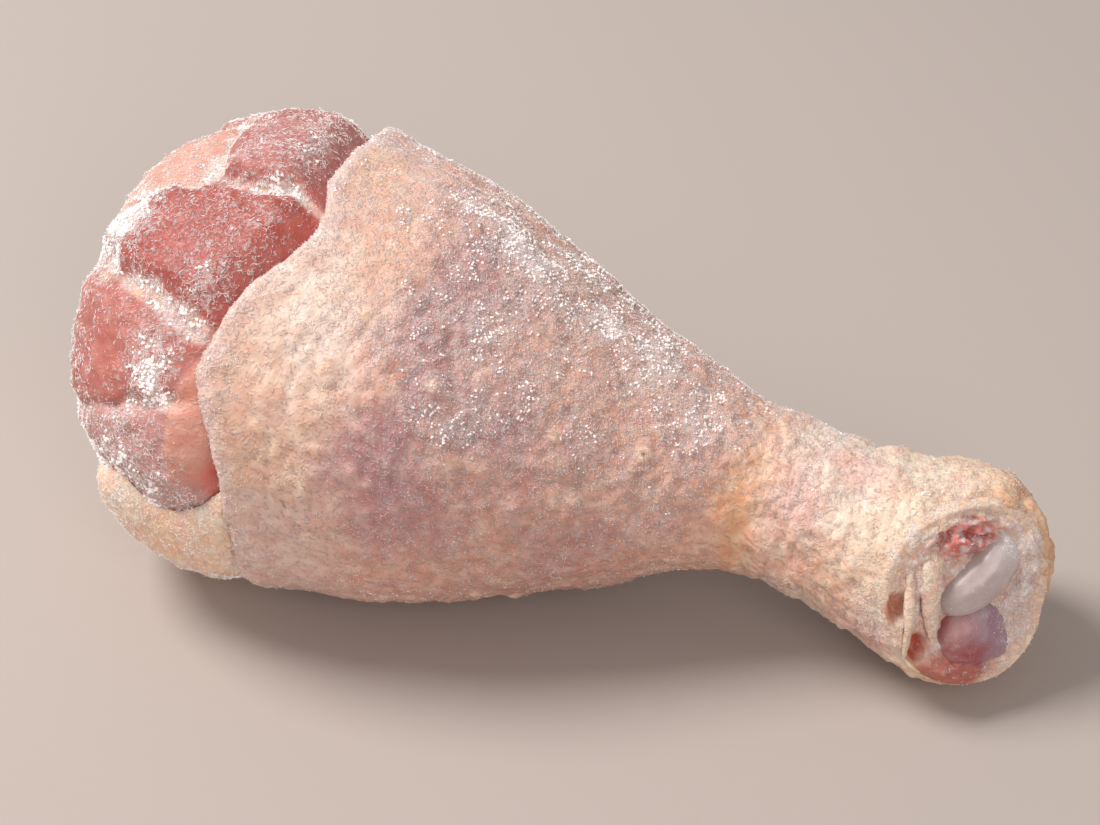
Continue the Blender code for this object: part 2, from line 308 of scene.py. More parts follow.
def ball_angles(places):
    """Each vertex's angle round a ball in degrees, and its share from the first pole, 0, to
    the last, 1."""
    turn = np.degrees(np.arctan2(places[:, 1], places[:, 0])) % 360
    return turn, np.arccos(np.clip(places[:, 2], -1, 1)) / math.pi


# ---------------------------------------------------------------- finishes


class Value:
    """A shader value. Arithmetic on it adds the Math nodes."""

    def __init__(self, finish, socket):
        self.finish, self.socket = finish, socket

    def maths(self, operation, *terms):
        return self.finish.node("ShaderNodeMath", {"operation": operation}, dict(enumerate(terms)))

    def __add__(self, other):
        return self.maths("ADD", self, other)

    def __sub__(self, other):
        return self.maths("SUBTRACT", self, other)

    def __rsub__(self, other):
        return self.maths("SUBTRACT", other, self)

    def __mul__(self, other):
        return self.maths("MULTIPLY", self, other)

    __radd__, __rmul__ = __add__, __mul__

    def between(self, start, stop):
        """0 at start, 1 at stop, and an even slope between them, whichever is the larger."""
        settings = {"interpolation_type": "SMOOTHSTEP"}
        sockets = {"Value": self, "From Min": start, "From Max": stop}
        return self.finish.node("ShaderNodeMapRange", settings, sockets)


class Finish:
    """One material, started with the numbers and colours that are the same all over it."""

    def __init__(self, name, **constants):
        self.material = bpy.data.materials.new(name)
        self.material.use_nodes = True
        self.tree = self.material.node_tree
        self.shader = self.tree.nodes["Principled BSDF"]
        for socket, value in constants.items():
            self.shader.inputs[socket.replace("_", " ")].default_value = value

    def node(self, kind, settings, sockets, output=0):
        """Adds one node: its type, then its settings, then its sockets' values or links."""
        made = self.tree.nodes.new(kind)
        for key, value in settings.items():
            setattr(made, key, value)
        for key, value in sockets.items():
            if isinstance(value, Value):
                self.tree.links.new(value.socket, made.inputs[key])
            else:
                made.inputs[key].default_value = value
        return Value(self, made.outputs[output])

    def place(self):
        """Object coordinates, in millimetres."""
        where = self.node("ShaderNodeTexCoord", {}, {}, "Object")
        return self.node("ShaderNodeVectorMath", {"operation": "SCALE"}, {0: where, "Scale": 1000.0})

    def painted(self, key):
        """What the mesh carries under this name, as a colour or as a number."""
        output = "Color" if key == "tint" else "Fac"
        return self.node("ShaderNodeAttribute", {"attribute_name": key}, {}, output)

    def grain(self, place, size, detail, distortion=0.0):
        """Cloudy noise from 0 to 1, in lumps of this size."""
        sockets = {"Vector": place, "Scale": 1.0 / size, "Detail": detail, "Distortion": distortion}
        return self.node("ShaderNodeTexNoise", {}, sockets)

    def mix(self, share, first, second, blending="MIX"):
        """Two colours blended by a share."""
        settings = {"data_type": "RGBA", "blend_type": blending}
        return self.node("ShaderNodeMix", settings, {0: share, 6: first, 7: second}, 2)

    def bump(self, height, distance, strength):
        """Relief too fine for the mesh, this many millimetres deep."""
        sockets = {"Height": height, "Distance": distance * MM, "Strength": strength}
        return self.node("ShaderNodeBump", {}, sockets)

    def feed(self, **sockets):
        """Links what varies over the surface to the shader, and gives the finished material."""
        for socket, value in sockets.items():
            self.tree.links.new(value.socket, self.shader.inputs[socket.replace("_", " ")])
        return self.material


def rgb(red, green, blue):
    return (red, green, blue, 1.0)


def frosted_flesh(name, frost_colour, contrast, **constants):
    """Damp flesh seen through specks of ice: the painted tint, mottled, with fine pale frost
    where the mesh carries it. Frost only ever lightens the flesh."""
    finish = Finish(name, **constants)
    place = finish.place()
    tint, frost = finish.painted("tint"), finish.painted("frost")
    mottle = finish.grain(place, 2.4, 4.0, 0.4)
    speckle = finish.grain(place, 0.7, 3.0, 0.8)
    waves = finish.grain(place, 0.62, 1.0, 1.6) - 0.5
    threads = waves.maths("ABSOLUTE", waves).between(0.045, 0.008)
    light = finish.mix((mottle - 0.42) * (1.4 * contrast), tint, rgb(1.0, 0.96, 0.92), "SOFT_LIGHT")
    dark = finish.mix((0.58 - mottle) * (1.4 * contrast), light, rgb(0.55, 0.25, 0.18), "SOFT_LIGHT")
    cover = (speckle + frost * 0.34).between(0.56, 0.74)
    snow = (frost + speckle * 0.8).between(1.05, 1.7)
    iced = cover * (threads * 0.75 + cover * 0.3) * (1.0 - snow * 0.7) + snow * 0.7
    colour = finish.mix(iced, dark, frost_colour, "LIGHTEN")
    height = finish.bump(speckle * 0.7 + iced * 0.8, 0.3, 0.8)
    return finish.feed(
        Base_Color=colour,
        Roughness=iced * 0.3 + mottle * 0.25 + 0.32,
        Normal=height,
    )


SKIN = frosted_flesh(
    "frosted_skin",
    rgb(0.68, 0.57, 0.56),
    1.0,
    Subsurface_Weight=0.25,
    Subsurface_Radius=(1.0, 0.45, 0.28),
    Subsurface_Scale=0.0022,
    Specular_IOR_Level=0.45,
)
MUSCLE = frosted_flesh(
    "frosted_muscle",
    rgb(0.86, 0.75, 0.73),
    0.9,
    Subsurface_Weight=0.2,
    Subsurface_Radius=(1.0, 0.25, 0.15),
    Subsurface_Scale=0.0022,
    Specular_IOR_Level=0.5,
)


def ice_with_painted_glow_finish():
    """Needles of hoarfrost: white, and a little clearer where they are thin, with a faint painted glow that
    lifts their shaded sides.
    """
    finish = Finish(
        "hoarfrost",
        Subsurface_Weight=1.0,
        Subsurface_Radius=(1.0, 0.9, 0.88),
        Subsurface_Scale=0.0006,
        Specular_IOR_Level=0.25,
        # painted glow: a faint pinkish-white emission stands in for light passing through the needles and
        # brightens their shaded sides
        Emission_Color=rgb(1.0, 0.90, 0.87),
        Emission_Strength=0.2,
    )
    shade = finish.grain(finish.place(), 1.6, 1.0)
    colour = finish.mix(shade.between(0.35, 0.65), rgb(0.90, 0.80, 0.76), rgb(0.96, 0.90, 0.88))
    return finish.feed(Base_Color=colour, Roughness=shade * 0.3 + 0.4)


def cartilage_finish():
    """Wet grey-lilac cartilage over the condyles."""
    finish = Finish(
        "wet_cartilage",
        Subsurface_Weight=0.3,
        Subsurface_Radius=(0.8, 0.6, 0.6),
        Subsurface_Scale=0.002,
        Coat_Weight=0.25,
        Coat_Roughness=0.25,
    )
    place = finish.place()
    tint, frost = finish.painted("tint"), finish.painted("frost")
    cloud = finish.grain(place, 3.0, 3.0, 0.6)
    iced = (finish.grain(place, 0.4, 3.0, 1.5) + frost * 0.4).between(0.66, 0.85)
    colour = finish.mix(cloud.between(0.35, 0.75) * 0.25, tint, rgb(0.80, 0.72, 0.70))
    colour = finish.mix(iced * 0.7, colour, rgb(0.92, 0.89, 0.89))
    return finish.feed(
        Base_Color=colour,
        Roughness=iced * 0.4 + cloud * 0.2 + 0.26,
        Normal=finish.bump(cloud + iced * 0.6, 0.15, 0.4),
    )


CARTILAGE = cartilage_finish()
ICE_WITH_PAINTED_GLOW = ice_with_painted_glow_finish()

# ---------------------------------------------------------------- skin

CREAM = np.array((0.82, 0.58, 0.46))
PALE = np.array((0.84, 0.68, 0.58))
ORANGE = np.array((0.78, 0.46, 0.27))
TAN = np.array((0.585, 0.335, 0.265))
MAUVE = np.array((0.44, 0.22, 0.24))
PINK = np.array((0.80, 0.46, 0.41))
YELLOW = np.array((0.86, 0.62, 0.45))
RAW_RED = np.array((0.55, 0.13, 0.10))
WHITE = np.array((0.88, 0.84, 0.83))

# The skin's own colour along the leg: x, colour
SKIN_COURSE = (
    (-36.0, CREAM * (0.84, 0.79, 0.83)),
    (-24.0, CREAM * (0.87, 0.84, 0.90)),
    (-14.0, TAN * 1.16),
    (2.0, TAN),
    (16.0, TAN * 1.05),
    (27.0, TAN * (1.22, 1.25, 1.15)),
    (35.0, PALE * (0.96, 0.90, 0.88)),
    (46.0, (PALE + YELLOW) / 2),
    (66.0, ORANGE * 1.02),
)

# Patches of the skin: place (x, angle), size along and round in mm, tilt, strength, colour
SKIN_PATCHES = (
    ((-29.0, 60.0), (4.5, 14.0), 0.0, 0.42, ORANGE),
    ((-23.0, 66.0), (3.5, 9.0), 10.0, 0.35, ORANGE),
    ((-25.5, 352.0), (4.0, 6.0), 0.0, 0.55, ORANGE),
    ((-20.0, 14.0), (5.0, 9.0), 0.0, 0.35, ORANGE),
    ((-24.0, 35.0), (8.0, 10.0), 0.0, 0.6, PALE),
    ((-14.5, 66.0), (5.5, 9.5), 25.0, 0.85, MAUVE),
    ((-10.0, 84.0), (7.0, 8.0), 30.0, 0.6, MAUVE),
    ((-8.5, 6.0), (6.0, 9.0), 0.0, 0.55, MAUVE),
    ((-11.0, 24.0), (4.5, 10.0), 10.0, 0.55, MAUVE),
    ((-7.0, 42.0), (9.0, 9.0), 20.0, 0.5, MAUVE),
    ((0.0, 60.0), (5.0, 7.0), 20.0, 0.45, MAUVE),
    ((6.0, 95.0), (7.0, 6.0), 20.0, 0.35, MAUVE),
    ((-14.0, 240.0), (9.0, 12.0), 0.0, 0.6, MAUVE),
    ((4.0, 300.0), (9.0, 8.0), 0.0, 0.45, MAUVE),
    ((26.5, 74.0), (2.8, 7.0), -12.0, 0.9, ORANGE * (0.94, 0.80, 0.76)),
    ((28.5, 30.0), (2.0, 5.0), -12.0, 0.3, ORANGE),
    ((28.0, 230.0), (3.0, 8.0), 0.0, 0.6, ORANGE),
    ((34.0, 50.0), (4.0, 5.0), 0.0, 0.65, PINK),
    ((41.0, 8.0), (6.0, 4.0), 0.0, 0.6, PINK),
    ((36.0, 95.0), (6.0, 4.0), 0.0, 0.6, PINK),
    ((39.0, 86.0), (9.0, 6.0), 0.0, 0.5, ORANGE * (0.95, 0.85, 0.8)),
    ((45.0, 112.0), (5.0, 5.0), 0.0, 0.75, PINK),
    ((44.0, 250.0), (6.0, 9.0), 0.0, 0.45, PINK),
    ((47.0, 35.0), (4.0, 8.0), 0.0, 0.5, YELLOW),
    ((62.0, 350.0), (6.0, 15.0), 0.0, 0.9, ORANGE * (0.86, 0.85, 0.82)),
)

# Where frost lies thick on the skin: place, size, tilt, strength
SKIN_FROST = (
    ((-13.0, 345.0), (4.5, 2.8), 0.0, 0.55),
    ((-7.0, 349.0), (4.0, 2.6), 0.0, 0.6),
    ((6.0, 355.0), (5.5, 2.4), 0.0, 0.36),
    ((14.5, 2.0), (3.5, 2.0), 0.0, 0.2),
    ((18.5, 26.0), (3.0, 2.0), 0.0, 0.3),
    ((-2.0, 352.0), (13.0, 8.0), 0.0, 0.12),
    ((9.0, 356.0), (10.0, 6.0), 0.0, 0.06),
    ((19.0, 10.0), (7.0, 7.0), 0.0, 0.25),
    ((-8.0, 54.0), (2.8, 2.2), 0.0, 0.6),
    ((-6.0, 26.0), (9.0, 9.0), 0.0, 0.3),
    ((46.0, 90.0), (3.0, 4.0), 0.0, 0.5),
    ((50.0, 0.0), (7.0, 4.0), 0.0, 0.3),
    ((0.0, 300.0), (18.0, 14.0), 0.0, 0.35),
    ((-20.0, 200.0), (12.0, 14.0), 0.0, 0.2),
)


def paint(base, x, turn, patches, wobble):
    """Lays the patches over a base colour, their edges broken up by the wobble."""
    for at, size, tilt, strength, colour in patches:
        share = spot(x, turn, at, size, tilt)
        base = blend(base, colour, strength * smooth(0.12, 0.95, share * (1 + 0.6 * wobble)))
    return base


SKIN_AROUND, SKIN_DOWN = 400, 244
OUTER, MOUTH_LIP, INNER = 0.84, 0.868, 0.958  # where the skin's outside, lip and inside end
FOLLICLES_APART = 4.6
ANKLE_FOLD = (27.0, 66.0)
BACK_FOLD = (-20.5, 332.0)


def skin_relief(points, x, turn, frost):
    """The skin's lumps, follicles, creases and crust of frost, in mm."""
    belly = smooth(-34, -24, x) * smooth(30, 20, x)
    ankle = smooth(22, 30, x)
    calm = 1 - 0.75 * spot(x, turn, (50.0, 60.0), (8.0, 10.0))
    calm = calm - 0.5 * spot(x, turn, (-22.0, 20.0), (7.0, 12.0))
    lumpy = 0.16 + 0.18 * smooth(-24, -12, x) + 0.24 * ankle
    relief = 0.55 * rough(points, 12.0, 2, 1) + lumpy * calm * rough(points, 3.4, 3, 2)
    relief += 0.32 * (belly * smooth(-26, -14, x) + 0.7 * ankle) * calm * np.abs(rough(points, 2.1, 2, 10))
    near, chance = cells(points, FOLLICLES_APART, 1)
    mound, pore = 0.42 * np.exp(-((near / 0.17) ** 2)), 0.4 * np.exp(-((near / 0.055) ** 2))
    relief += smooth(0.4, 0.6, chance) * (mound - pore)
    rings = rough(points, (1.7, 9.0, 9.0), 2, 3)
    near_rim = spot(x, turn, (-26.0, 70.0), (7.0, 17.0))
    ring_depth = (0.08 + 0.36 * near_rim + 0.1 * ankle) * calm
    relief -= ring_depth * smooth(0.22, 0.0, np.abs(rings)) * (0.3 + 0.7 * belly + ankle)
    slant = np.array(((0.8, 0.5, 0), (-0.5, 0.8, 0), (0, 0.3, 1.0)))
    slanting = rough(points @ slant, (2.2, 9.0, 9.0), 1, 4)
    creased = spot(x, turn, (-18.0, 40.0), (11.0, 18.0)) + 0.3 * ankle
    relief -= 0.35 * smooth(0.2, 0.0, np.abs(slanting)) * creased * calm
    relief -= 0.9 * spot(x, turn, ANKLE_FOLD, (1.8, 8.0), -8.0)
    relief -= 0.9 * spot(x, turn, BACK_FOLD, (7.5, 0.9), 2.0)
    relief += 0.7 * spot(x, turn, (-17.0, 342.0), (9.0, 4.0), 4.0)
    relief += (0.15 + 0.2 * frost) * (0.3 + 0.7 * calm) * rough(points, 1.15, 2, 5)
    return relief


def skin_frost(x, turn, wobble):
    """How thick the frost lies: most along the back of the leg, and in its patches."""
    frost = 0.30 + 0.13 * np.cos(np.radians(turn - 350))
    frost = frost - 0.2 * smooth(36, 44, x)
    for at, size, tilt, strength in SKIN_FROST:
        frost = frost + strength * spot(x, turn, at, size, tilt)
    frost = frost * (1 + 0.5 * wobble)
    thinner = 0.35 * spot(x, turn, ANKLE_FOLD, (3.5, 9.0))
    frost -= thinner + 0.22 * spot(x, turn, (-25.0, 55.0), (7.0, 22.0))
    return np.clip(frost, 0.0, 1.2)


def place_skin(places):
    """A sleeve: the grid runs round the leg, down its outside, over the mouth's lip, back up
    the inside and over the rim at the knee."""
    turn, down = places[:, 0] * 360.0, places[:, 1]
    rim_x = knee_rim_x(turn) + 0.5 * uneven_ring(turn, 30, 4.5, 6)
    start = station_at(rim_x)
    lip_wobble = 0.09 * uneven_ring(turn, 10, 3.0, 9)
    torn_back = 0.42 * np.exp(-((apart(turn, 150.0) / 34.0) ** 2))
    stop = mouth_station(turn, SKIN_GAP) + lip_wobble - torn_back
    share = np.interp(down, (0.0, OUTER, MOUTH_LIP, INNER, 1.0), (0.0, 1.0, 1.0, 0.0, 0.0))
    t = start + share * (stop - start)
    point, along, outward = leg_frame(t, turn)
    x = point[:, 0]

    wobble = rough(point, 5.0, 3, 7)
    frost = skin_frost(x, turn, wobble)
    from_rim, to_mouth = x - rim_x, (stop - t) * 4.0
    thick = 1.2 + 0.8 * np.exp(-((from_rim / 2.6) ** 2)) - 0.5 * np.exp(-((to_mouth / 1.4) ** 2))
    relief = skin_relief(point, x, turn, frost) * smooth(-0.5, 1.5, from_rim + 0.6)
    outside = SKIN_GAP + np.maximum(thick + relief, 0.35)

    rounded = smooth(OUTER, MOUTH_LIP, down) * (down <= MOUTH_LIP) + (down > MOUTH_LIP)
    rounded = np.where(down > INNER, 1 - smooth(INNER, 1.0, down), rounded)
    angle = rounded * math.pi
    middle, half = (outside + SKIN_GAP) / 2, (outside - SKIN_GAP) / 2
    out = middle + half * np.cos(angle)
    bulge = half * np.sin(angle) * np.where(down > INNER, -1.0, 1.0)
    points = point + outward * out[:, None] + along * bulge[:, None]
    points += outward * (0.12 * rough(points, 0.9, 1, 8) * np.exp(-((from_rim / 2.0) ** 2)))[:, None]

    course_x = [at for at, _ in SKIN_COURSE]
    course = np.array([colour for _, colour in SKIN_COURSE])
    base = np.stack([np.interp(x + 3 * wobble, course_x, part) for part in course.T], axis=1)
    tint = paint(base, x, turn, SKIN_PATCHES, wobble)
    belly = smooth(-26, -14, x) * smooth(34, 24, x)
    tint = blend(tint, MAUVE * 1.15, (0.04 + 0.22 * belly) * smooth(0.05, 0.55, rough(point, 4.5, 3, 11)))
    tint = blend(tint, CREAM * 1.05, (0.05 + 0.2 * belly) * smooth(0.05, 0.55, rough(point, 3.2, 3, 12)))
    tint = tint * (1 + (0.07 + 0.09 * belly) * rough(point, 1.5, 2, 13))[:, None]
    near, chance = cells(point, FOLLICLES_APART, 1)
    follicle = smooth(0.4, 0.6, chance) * smooth(44, 36, x)
    tint = blend(tint, YELLOW * 1.05, 0.75 * follicle * smooth(0.25, 0.12, near))
    tint = blend(tint, np.array((0.30, 0.12, 0.05)), 0.9 * follicle * smooth(0.095, 0.05, near))
    tint = blend(tint, RAW_RED * 1.2, 0.55 * spot(x, turn, BACK_FOLD, (7.0, 0.8), 2.0))
    edge = np.exp(-((from_rim / 1.3) ** 2))
    tint = blend(tint, WHITE, 0.2 * edge)
    return points, {"tint": tint, "frost": frost + 0.08 * edge}


skin = piece("skin", sheet_of(SKIN_AROUND, SKIN_DOWN), place_skin, SKIN, "skin", "skin")

# ---------------------------------------------------------------- muscle

DEEP_RED = np.array((0.37, 0.075, 0.06))
CORAL = np.array((0.47, 0.155, 0.13))
BROWN_PINK = np.array((0.56, 0.28, 0.255))
APRICOT = np.array((0.70, 0.37, 0.29))
ROSE = np.array((0.46, 0.17, 0.155))
FASCIA = np.array((0.84, 0.68, 0.60))

# Bellies of muscle: middle (x, angle), swell past the flesh line, colour, frost
BELLIES = (
    ((-36.5, 347.0), 3.3, ROSE, 0.36),
    ((-54.5, 349.0), 0.6, APRICOT, 0.25),
    ((-40.0, 28.0), 2.1, DEEP_RED, 0.34),
    ((-49.0, 58.0), 1.5, CORAL, 0.30),
    ((-43.0, 84.0), 1.7, BROWN_PINK, 0.5),
    ((-46.0, 118.0), 0.6, ROSE, 0.45),
    ((-47.0, 160.0), 0.4, CORAL, 0.45),
    ((-48.0, 205.0), 0.4, DEEP_RED, 0.45),
    ((-48.0, 240.0), 1.2, ROSE, 0.50),
    ((-46.0, 272.0), 1.8, DEEP_RED, 0.45),
    ((-43.0, 308.0), 2.4, CORAL, 0.55),
)
SEAM = 2.6  # breadth of the seam between two bellies

# Where frost lies thicker or thinner on the muscle: place, size, strength
MEAT_FROST = (
    ((-32.0, 352.0), (3.5, 5.0), 0.45),
    ((-51.5, 20.0), (2.8, 4.5), 0.55),
    ((-42.0, 57.0), (3.2, 4.5), 0.75),
    ((-53.0, 24.0), (3.0, 5.0), 0.5),
    ((-36.0, 42.0), (5.0, 5.5), 0.4),
    ((-44.0, 30.0), (3.5, 4.0), -0.15),
    ((-49.0, 60.0), (3.5, 5.5), -0.25),
    ((-35.0, 67.0), (4.8, 10.0), -0.6),
    ((-32.5, 84.0), (2.8, 4.2), -0.4),
)

# The loose flap's two ends round the leg
FLAP_FROM, FLAP_TO = 98.0, 242.0


def nearest_bellies(point):
    """The distances to the nearest two bellies, and which they are."""
    middles = [bare_leg(station_at(x), np.array(turn, float)) for (x, turn), *_ in BELLIES]
    away = (point[:, None, :] - np.array(middles)[None]) * np.array((0.75, 1.0, 1.0))
    reach = np.linalg.norm(away, axis=2)
    order = np.argsort(reach, axis=1)
    rows = np.arange(len(point))
    return reach[rows, order[:, 0]], reach[rows, order[:, 1]], order[:, 0], order[:, 1]


def place_meat(places):
    """A ball drawn out along the leg: most of it is the bare end, the rest lies under the skin."""
    turn, down = ball_angles(places)
    shown = 0.78
    rim_t = station_at(knee_rim_x(turn) + 3.0)
    end_t = station_at(MEAT_END)
    hidden_t = rim_t + (end_t - rim_t) * (down - shown) / (1 - shown)
    t = np.where(down < shown, rim_t * (down / shown), hidden_t)
    point, _, outward = leg_frame(t, turn)
    ends = np.minimum(smooth(0.0, 0.03, down), smooth(1.0, 0.985, down))
    poles = np.where(down[:, None] < 0.5, KNEE_POLE, (MEAT_END, 0.0, 15.6))
    point = blend(poles, point, ends)
    x = point[:, 0]

    under_flap = smooth(FLAP_FROM - 14, FLAP_FROM - 2, turn) * smooth(FLAP_TO + 14, FLAP_TO + 2, turn)
    bare = smooth(0.6, 7.0, knee_rim_x(turn) - x)
    wobble = rough(point, 3.2, 3, 21)
    bent = point + 1.5 * np.stack([rough(point, 6.0, 2, seed) for seed in (22, 23, 24)], axis=1)
    first, second, which, other = nearest_bellies(bent)
    breadth = SEAM * (1 + 0.45 * rough(point, 7.0, 2, 29))
    wider = 1.1 * spot(x, turn, (-44.0, 46.0), (7.0, 4.5))
    breadth *= 1 + wider - 0.62 * spot(x, turn, (-51.0, 72.0), (8.0, 6.0))
    breadth *= 1 - 0.45 * spot(x, turn, (-50.0, 12.0), (5.0, 6.0))
    between = np.exp(-(((second - first) / breadth) ** 2))
    between *= 1 - 0.75 * spot(x, turn, (-52.0, 72.0), (8.0, 7.0))
    swells = np.array([b[1] for b in BELLIES])
    swell = swells[which] + (swells[other] - swells[which]) * between / 2
    end = smooth(-61.4, -56.0, x)
    relief = bare * (1 - under_flap) * end * (swell - (swell * 0.5 + 0.9) * between)
    relief += bare * (0.25 * rough(point, 2.2, 3, 25) + 0.18 * rough(point, (9.0, 1.1, 1.1), 2, 26))
    relief += bare * 0.5 * between * np.abs(rough(point, 2.0, 2, 27))
    relief -= 0.25 * (1 - bare)
    membrane = spot(x, turn, (-35.0, 68.0), (5.0, 9.5), 8.0) + 0.08 * wobble
    membrane = smooth(0.36, 0.56, membrane) * smooth(0.2, 1.5, knee_rim_x(turn) - x)
    gap = spot(x, turn, (-32.6, 84.0), (2.6, 4.2), 10.0)
    relief += 0.45 * membrane - 0.9 * gap
    points = point + outward * relief[:, None]
    sole = smooth(3.0, 0.0, points[:, 2])
    points[:, 2] = np.maximum(points[:, 2], 1.25 + 0.1 * sole)

    colours = np.array([b[2] for b in BELLIES])
    tint = blend(colours[which], colours[other], between * 0.5)
    tint = tint * (1 + 0.16 * wobble)[:, None]
    dark = spot(x, turn, (-31.5, 22.0), (5.0, 9.0))
    tint = blend(tint, RAW_RED * 0.72, 0.75 * dark)
    seam = smooth(0.45, 0.95, between + 0.22 * wobble)
    tint = blend(tint, FASCIA, (0.55 + 0.3 * wobble) * seam)
    tint = blend(tint, ORANGE, 0.7 * smooth(0.15, 0.5, rough(point, 3.5, 2, 28)) * seam)
    face = smooth(-55.0, -59.5, x + 1.2 * wobble)
    tint = blend(tint, FASCIA * 0.92, 0.6 * face)
    tint = blend(tint, np.array((0.66, 0.30, 0.225)), 0.88 * membrane)
    tint = blend(tint, np.array((0.70, 0.19, 0.16)), 0.9 * smooth(0.3, 0.7, gap))

    frosts = np.array([b[3] for b in BELLIES])
    frost = frosts[which] + (frosts[other] - frosts[which]) * between / 2 + 0.3 * seam + 0.2 * face
    for at, size, strength in MEAT_FROST:
        frost = frost + strength * spot(x, turn, at, size)
    frost = np.clip(frost * (1 + 0.55 * wobble), 0.0, 1.3) * (0.15 + 0.85 * bare)
    return points, {"tint": tint, "frost": frost}


meat = piece("meat", ball_of(around=420, down=236), place_meat, MUSCLE, "meat", "meat")

# ---------------------------------------------------------------- loose flap of skin

# The flap's edge towards the knee: angle, x. Its upper edge: x, angle
FLAP_KNEE_EDGE = ((98, -48.0), (112, -52.5), (130, -56.5), (170, -58.0), (215, -56.5), (242, -52.0))
FLAP_UPPER_EDGE = ((-60, 83), (-53, 89), (-46.4, 96), (-43, 101), (-39, 99), (-35.5, 94), (-32, 86))


def place_flap(places):
    """A ball flattened onto the underside: its first half is the outside."""
    turn, down = ball_angles(places)
    reach = np.sin(down * math.pi)
    outer = down < 0.5
    u, v = reach * np.cos(np.radians(turn)), reach * np.sin(np.radians(turn))
    square = np.maximum(np.abs(u), np.abs(v)) / np.maximum(np.hypot(u, v), 1e-9)
    fill = 1.0 / np.maximum(square, 0.72)
    u, v = np.clip(u * fill, -1, 1), np.clip(v * fill, -1, 1)
    middle, half = (FLAP_FROM + FLAP_TO) / 2, (FLAP_TO - FLAP_FROM) / 2
    at_turn = middle + half * u
    rim = knee_rim_x(at_turn) - 0.7
    edge = np.interp(at_turn, *zip(*FLAP_KNEE_EDGE))
    x = edge + (rim - edge) * (v + 1) / 2
    over = np.interp(x, *zip(*FLAP_UPPER_EDGE))
    at_turn = at_turn + (over - FLAP_FROM) * smooth(0.1, -1.0, u)
    x += 0.5 * rough(np.stack((at_turn * 0.5, v * 4, u), axis=1), 4.0, 2, 31) * (1 - v) / 2
    point, _, outward = leg_frame(station_at(x), at_turn)
    thin = np.sqrt(np.clip(1 - reach**4, 0, 1))
    wobble = rough(point, 4.0, 3, 32)
    lumps = 0.45 * rough(point, 8.0, 2, 33) + 0.25 * rough(point, 2.6, 2, 34)
    lumps += 0.12 * rough(point, 1.1, 1, 35)
    puff = 0.9 * spot(x, at_turn, (-41.0, 112.0), (9.0, 8.0))
    thick = np.where(outer, 0.15 + thin * (2.3 + 1.5 * lumps + puff), 0.15 - thin * 0.5)
    points = point + outward * thick[:, None]
    low = np.where(outer, 0.0, 0.85)
    points[:, 2] = np.maximum(points[:, 2], low)
    tint = blend(np.tile(CREAM * 1.08, (len(x), 1)), PALE, smooth(-0.1, 0.4, wobble))
    tint = blend(tint, ORANGE * 1.1, 0.55 * smooth(0.1, 0.5, rough(point, 5.0, 2, 36)))
    tint = blend(tint, PINK, 0.35 * smooth(0.1, 0.5, rough(point, 4.0, 2, 37)))
    tint = tint * (1.2, 1.12, 1.06)
    frost = np.clip(0.42 + 0.4 * wobble + 0.25 * (1 - thin), 0, 1)
    return points, {"tint": tint, "frost": frost}


flap = piece("skin_flap", ball_of(around=200, down=120), place_flap, SKIN, "skin_flap", "skin_flap")

# ---------------------------------------------------------------- the hock's mouth

# The bone inside: x, centre y, centre z, half width, half height
BONE = np.array(
    (
        (-62.6, 0.0, 27.5, 6.5, 5.5),
        (-61.6, 0.0, 27.5, 8.4, 7.6),
        (-57.0, 0.0, 27.4, 8.6, 7.8),
        (-46.0, -0.6, 27.0, 5.2, 5.2),
        (-20.0, -1.4, 25.2, 3.8, 3.8),
        (14.0, -0.8, 20.4, 3.5, 3.5),
        (34.0, -0.4, 17.0, 3.5, 3.5),
        (46.0, -1.0, 14.8, 4.6, 4.6),
        (51.5, -2.0, 13.6, 5.6, 5.4),
        (55.0, -2.8, 13.4, 3.5, 3.5),
    )
)
LILAC = np.array((0.34, 0.19, 0.24))
GREY_LILAC = np.array((0.47, 0.365, 0.35))
PLUM = np.array((0.32, 0.06, 0.065))


def place_bone(places):
    """A ball drawn out along the bone, with a shallow groove over its knee head."""
    turn, down = ball_angles(places)
    t = down * (len(BONE) - 1)
    x, y, z, wide, high = np.moveaxis(through(BONE, t), -1, 0)
    round_off = np.sqrt(np.clip(smooth(0.0, 0.1, down) * smooth(1.0, 0.97, down), 0, 1))
    angle = np.radians(turn)
    points = np.stack((x, y - wide * round_off * np.sin(angle), z + high * round_off * np.cos(angle)), axis=1)
    head = smooth(-52.0, -60.0, x)
    groove = np.exp(-(((points[:, 1] - y) / 3.0) ** 2)) * head
    points[:, 0] += 0.6 * groove + 0.4 * rough(points, 3.0, 2, 41) * head
    tint = blend(np.tile(np.array((0.74, 0.58, 0.53)), (len(x), 1)), LILAC, 0.35 * groove)
    tint = blend(tint, PINK, 0.6 * smooth(0.0, 0.4, rough(points, 4.0, 2, 46)))
    return points, {"tint": tint, "frost": np.clip(0.45 + 0.4 * rough(points, 2.5, 2, 42), 0, 1)}


BLUNTNESS = 2.7  # 2 is an ellipse, and more is squarer

# Condyle: right, up, out, turn in the mouth, half length, half breadth, half depth
CONDYLES = {
    "condyle_upper": (2.1, 1.0, -2.7, 52.0, 7.0, 3.3, 5.0),
    "condyle_lower": (2.2, -6.6, -2.8, 25.0, 5.6, 4.8, 4.5),
}


